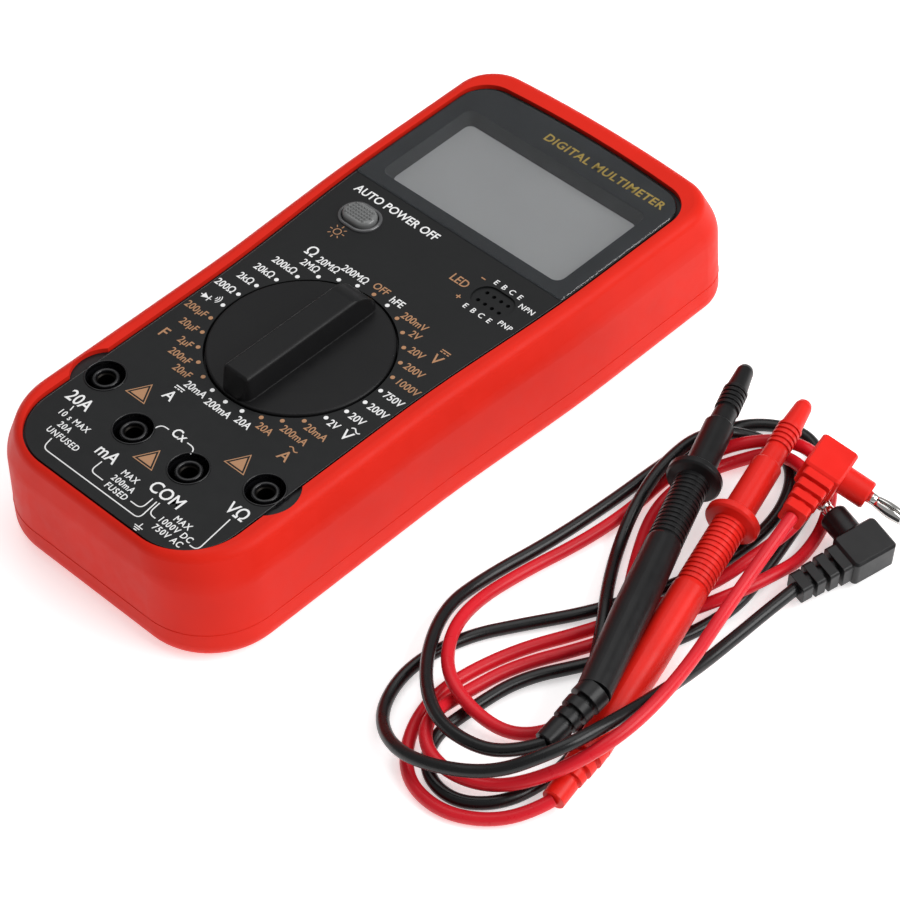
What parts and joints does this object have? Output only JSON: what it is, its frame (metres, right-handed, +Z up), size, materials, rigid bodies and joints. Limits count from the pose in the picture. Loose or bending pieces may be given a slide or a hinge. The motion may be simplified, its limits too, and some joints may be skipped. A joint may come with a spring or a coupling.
{
  "type": "digital multimeter",
  "caption": "Hand-held digital multimeter in a soft holster, with a range knob, a display, recessed jacks and a pair of coiled test leads with capped probes and angled plugs.",
  "frame": {"origin": "on the surface, under the middle of the meter in its holster (the test leads not counted)", "axes": "+Z up out of the meter's face, +Y towards its display end, +X to its right, where the test leads lie"},
  "size_m": [0.1742, 0.1804, 0.0389],
  "materials": {
    "holster_rubber": "smooth satin-gloss soft rubber",
    "case_plastic": "fine moulded",
    "panel_plastic": "satin charcoal",
    "knob_plastic": "satin black",
    "button_plastic": "silver grey with a fine knurl",
    "lens_plastic": "clear, smoke grey, polished",
    "lcd_glass": "grey reflective display",
    "backlight_plastic": "frosted",
    "zebra_rubber": "matt",
    "board_laminate": "green solder mask",
    "chip_plastic": "moulded",
    "contact_brass": "bright",
    "plated_steel": "zinc plated",
    "fuse_glass": "ceramic and glass",
    "battery_jacket": "painted can",
    "black_probe_plastic": "satin, finely ribbed grip",
    "red_probe_plastic": "satin, finely ribbed grip",
    "black_cable": "soft, slightly glossy",
    "red_cable": "soft, slightly glossy",
    "nickel": "bright nickel plate"
  },
  "bodies": {
    "meter": {"holster": "holster_rubber", "front_case": "case_plastic", "rear_case": "case_plastic", "battery_door": "case_plastic", "jack_block": "case_plastic", "face_plate": "panel_plastic", "lcd_bezel": "panel_plastic", "transistor_socket": "panel_plastic", "display_lens": "lens_plastic", "lcd_glass": "lcd_glass", "backlight_panel": "backlight_plastic", "zebra_strip_1": "zebra_rubber", "zebra_strip_2": "zebra_rubber", "battery_snap": "zebra_rubber", "main_board": "board_laminate", "main_chip": "chip_plastic", "buzzer": "chip_plastic", "button_switch": "chip_plastic", "detent_ring": "chip_plastic", "case_screw_1": "plated_steel", "case_screw_2": "plated_steel", "case_screw_3": "plated_steel", "case_screw_4": "plated_steel", "door_screw": "plated_steel", "board_screw_1": "plated_steel", "board_screw_2": "plated_steel", "fuse_clip_1": "plated_steel", "fuse_clip_2": "plated_steel", "fuse_clip_3": "plated_steel", "fuse_clip_4": "plated_steel", "fuse_ma": "fuse_glass", "fuse_20a": "fuse_glass", "battery": "battery_jacket", "jack_tube_20a": "contact_brass", "jack_tube_ma": "contact_brass", "jack_tube_com": "contact_brass", "jack_tube_volt": "contact_brass", "shunt_bar": "contact_brass"},
    "knob": {"range_knob": "knob_plastic", "switch_rotor": "knob_plastic", "wiper_contact_1": "contact_brass", "wiper_contact_2": "contact_brass", "wiper_contact_3": "contact_brass"},
    "button": {"backlight_button": "button_plastic"},
    "stand": {"tilt_stand": "case_plastic"},
    "test_leads": {"black_probe_body": "black_probe_plastic", "black_probe_needle": "nickel", "black_probe_relief": "black_probe_plastic", "black_lead": "black_cable", "black_plug_body": "black_probe_plastic", "black_plug_pin": "nickel", "red_probe_body": "red_probe_plastic", "red_probe_needle": "nickel", "red_probe_relief": "red_probe_plastic", "red_lead": "red_cable", "red_plug_body": "red_probe_plastic", "red_plug_pin": "nickel"},
    "black_cap": {"black_tip_cap": "black_probe_plastic"},
    "red_cap": {"red_tip_cap": "red_probe_plastic"}
  },
  "joints": [
    {"name": "knob_turn", "type": "hinge", "parent": "meter", "child": "knob", "pos_m": [0, -0.02, 0.03], "axis": [0, 0, 1], "continuous": true},
    {"name": "button_press", "type": "slide", "parent": "meter", "child": "button", "axis": [0, 0, -1], "range_m": [0, 0.0012], "stiffness_N_per_m": 800},
    {"name": "stand_fold", "type": "hinge", "parent": "meter", "child": "stand", "pos_m": [0, 0.04, 0.0047], "axis": [1, 0, 0], "range_deg": [0, 62]},
    {"name": "leads_lift", "type": "slide", "parent": "meter", "child": "test_leads", "axis": [0, 0, 1], "range_m": [0, 0.06]},
    {"name": "black_cap_pull", "type": "slide", "parent": "test_leads", "child": "black_cap", "axis": [-0.3962, 0.9175, -0.035], "range_m": [0, 0.024]},
    {"name": "red_cap_pull", "type": "slide", "parent": "test_leads", "child": "red_cap", "axis": [-0.2692, 0.9609, 0.0648], "range_m": [0, 0.024]}
  ]
}
